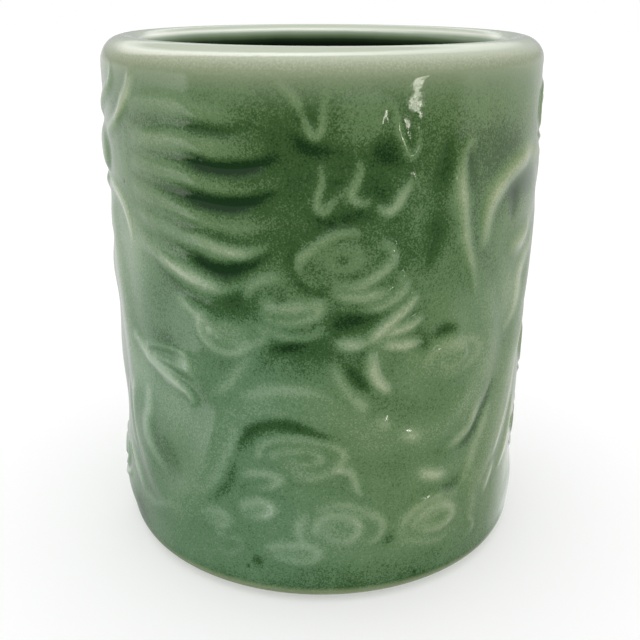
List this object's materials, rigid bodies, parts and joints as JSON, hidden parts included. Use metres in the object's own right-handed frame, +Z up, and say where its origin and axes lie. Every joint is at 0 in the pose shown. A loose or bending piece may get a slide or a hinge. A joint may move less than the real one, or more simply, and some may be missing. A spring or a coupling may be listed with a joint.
{
  "type": "brush pot",
  "caption": "Straight cylindrical ceramic pot for standing brushes in, with a broad domed lip, a bare foot ring and raised dragons, clouds and flaming pearls under a green glaze.",
  "frame": {"origin": "centre of the circle that the foot ring stands on, at table level", "axes": "+Z up out of the mouth along the pot's axis; -Y is the front, where the front dragon's mane and the pearl are; +X is the viewer's right"},
  "size_m": [0.129, 0.1288, 0.1506],
  "materials": {
    "bare_porcelain": "unglazed biscuit, pale and matt",
    "outer_celadon": "glossy translucent celadon glaze, pale where thin and dark green where it pools",
    "inner_celadon": "glossy celadon glaze",
    "underside_celadon": "thin wiped celadon glaze",
    "raised_celadon": "glossy celadon glaze, thin and pale on the raised clay"
  },
  "bodies": {
    "root": {"body_wall": "bare_porcelain", "base_slab": "bare_porcelain", "foot_ring": "bare_porcelain", "outer_glaze": "outer_celadon", "inner_glaze": "inner_celadon", "underside_glaze": "underside_celadon", "front_dragon_body": "raised_celadon", "front_dragon_mane": "raised_celadon", "front_dragon_feet": "raised_celadon", "front_dragon_head": "raised_celadon", "back_dragon_body": "raised_celadon", "back_dragon_mane": "raised_celadon", "back_dragon_feet": "raised_celadon", "back_dragon_head": "raised_celadon", "front_clouds": "raised_celadon", "back_clouds": "raised_celadon", "flaming_pearls": "raised_celadon"}
  },
  "joints": []
}
